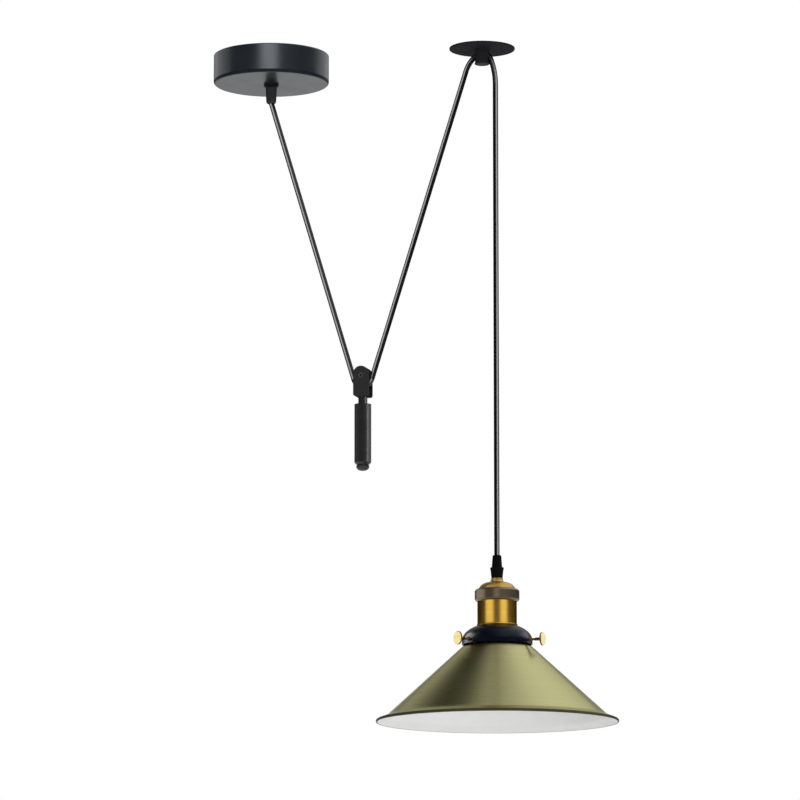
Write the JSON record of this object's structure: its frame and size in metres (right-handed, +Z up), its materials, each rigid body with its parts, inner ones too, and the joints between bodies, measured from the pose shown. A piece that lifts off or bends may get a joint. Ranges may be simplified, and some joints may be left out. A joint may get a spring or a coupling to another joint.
{
  "type": "rise and fall pendant",
  "caption": "Ceiling pendant with a conical metal shade on a flex that runs from a rose under a grooved counterweight wheel and over a ceiling guide, so the lamp rises and falls.",
  "frame": {"origin": "centre of the ceiling rose on the ceiling plane", "axes": "+Z up into the ceiling, +X from the rose towards the guide plate and lamp, -Y towards the front"},
  "size_m": [0.3768, 0.2216, 0.6297],
  "materials": {
    "rose_enamel": "satin",
    "zinc_steel": "satin",
    "grip_nylon": "satin",
    "gland_rubber": "matte",
    "terminal_plastic": "matte",
    "contact_brass": "satin",
    "core_brown": "satin",
    "core_blue": "satin",
    "core_green": "satin",
    "flex_sheath": "satin",
    "black_enamel": "satin",
    "wheel_plastic": "satin",
    "weight_steel": "satin",
    "screw_steel": "satin",
    "brushed_brass": "satin",
    "aged_brass": "satin",
    "bronze": "satin",
    "porcelain": "gloss",
    "gallery_gloss": "gloss",
    "shade_brass": "satin"
  },
  "bodies": {
    "ceiling": {"rose_cover": "rose_enamel", "rose_strap": "zinc_steel", "rose_grip_body": "grip_nylon", "rose_grip_locknut": "zinc_steel", "rose_grip_sleeve": "gland_rubber", "rose_grip_nut": "grip_nylon", "rose_terminal_block": "terminal_plastic", "rose_terminal_screws": "contact_brass", "rose_earth_screw": "contact_brass", "rose_core_live": "core_brown", "rose_core_neutral": "core_blue", "rose_core_earth": "core_green", "flex_rose_end": "flex_sheath", "flex_rose_strand": "flex_sheath", "flex_guide_strand": "flex_sheath", "flex_over_guide": "flex_sheath", "flex_drop": "flex_sheath", "guide_plate": "black_enamel", "guide_post": "black_enamel", "guide_post_screws": "screw_steel", "guide_pin": "screw_steel"},
    "lamp": {"flex_lamp_end": "flex_sheath", "lamp_grip_nut": "grip_nylon", "lamp_grip_sleeve": "gland_rubber", "lamp_grip_body": "grip_nylon", "holder_nipple": "contact_brass", "holder_nipple_nut": "contact_brass", "holder_cap": "aged_brass", "holder_collar": "bronze", "holder_shell": "brushed_brass", "holder_insert": "porcelain", "holder_screw_shell": "contact_brass", "holder_contact": "contact_brass", "holder_terminals": "contact_brass", "lamp_core_live": "core_brown", "lamp_core_neutral": "core_blue", "lamp_core_earth": "core_green", "gallery": "gallery_gloss", "gallery_ring": "black_enamel", "gallery_bosses": "contact_brass", "shade": "shade_brass"},
    "weight": {"weight_fork": "weight_steel", "weight_axle": "screw_steel", "weight_stem": "screw_steel", "weight_cylinder": "weight_steel", "weight_end_bolt": "screw_steel", "flex_under_wheel": "flex_sheath"},
    "weight_wheel": {"weight_wheel": "wheel_plastic"},
    "guide_roller": {"guide_roller": "wheel_plastic"},
    "thumbscrew_1": {"thumbscrew_1": "brushed_brass"},
    "thumbscrew_2": {"thumbscrew_2": "brushed_brass"},
    "thumbscrew_3": {"thumbscrew_3": "brushed_brass"}
  },
  "joints": [
    {"name": "lamp_slide", "type": "slide", "parent": "ceiling", "child": "lamp", "axis": [0, 0, 1], "range_m": [-0.25, 0.2], "deforming": ["flex_drop"]},
    {"name": "weight_slide", "type": "slide", "parent": "ceiling", "child": "weight", "axis": [0, 0, 1], "range_m": [-0.11, 0.135], "deforming": ["flex_rose_strand", "flex_guide_strand"]},
    {"name": "wheel_spin", "type": "hinge", "parent": "weight", "child": "weight_wheel", "pos_m": [0.0874, 0, -0.3071], "axis": [0.1045, 0.9945, 0], "range_deg": [-900, 720]},
    {"name": "roller_spin", "type": "hinge", "parent": "ceiling", "child": "guide_roller", "pos_m": [0.1996, 0, -0.0102], "axis": [0, 1, 0], "range_deg": [-2300, 2850]},
    {"name": "thumbscrew_1_slide", "type": "slide", "parent": "lamp", "child": "thumbscrew_1", "axis": [-0.7071, -0.7071, 0], "range_m": [0, 0.003]},
    {"name": "thumbscrew_2_slide", "type": "slide", "parent": "lamp", "child": "thumbscrew_2", "axis": [0.9659, -0.2588, 0], "range_m": [0, 0.003]},
    {"name": "thumbscrew_3_slide", "type": "slide", "parent": "lamp", "child": "thumbscrew_3", "axis": [-0.2588, 0.9659, 0], "range_m": [0, 0.003]}
  ],
  "couplings": [
    {"joint": "weight_slide", "follows": "lamp_slide", "ratio": -0.53},
    {"joint": "wheel_spin", "follows": "lamp_slide", "rad_per_m": 58.889},
    {"joint": "roller_spin", "follows": "lamp_slide", "rad_per_m": -192.31}
  ]
}
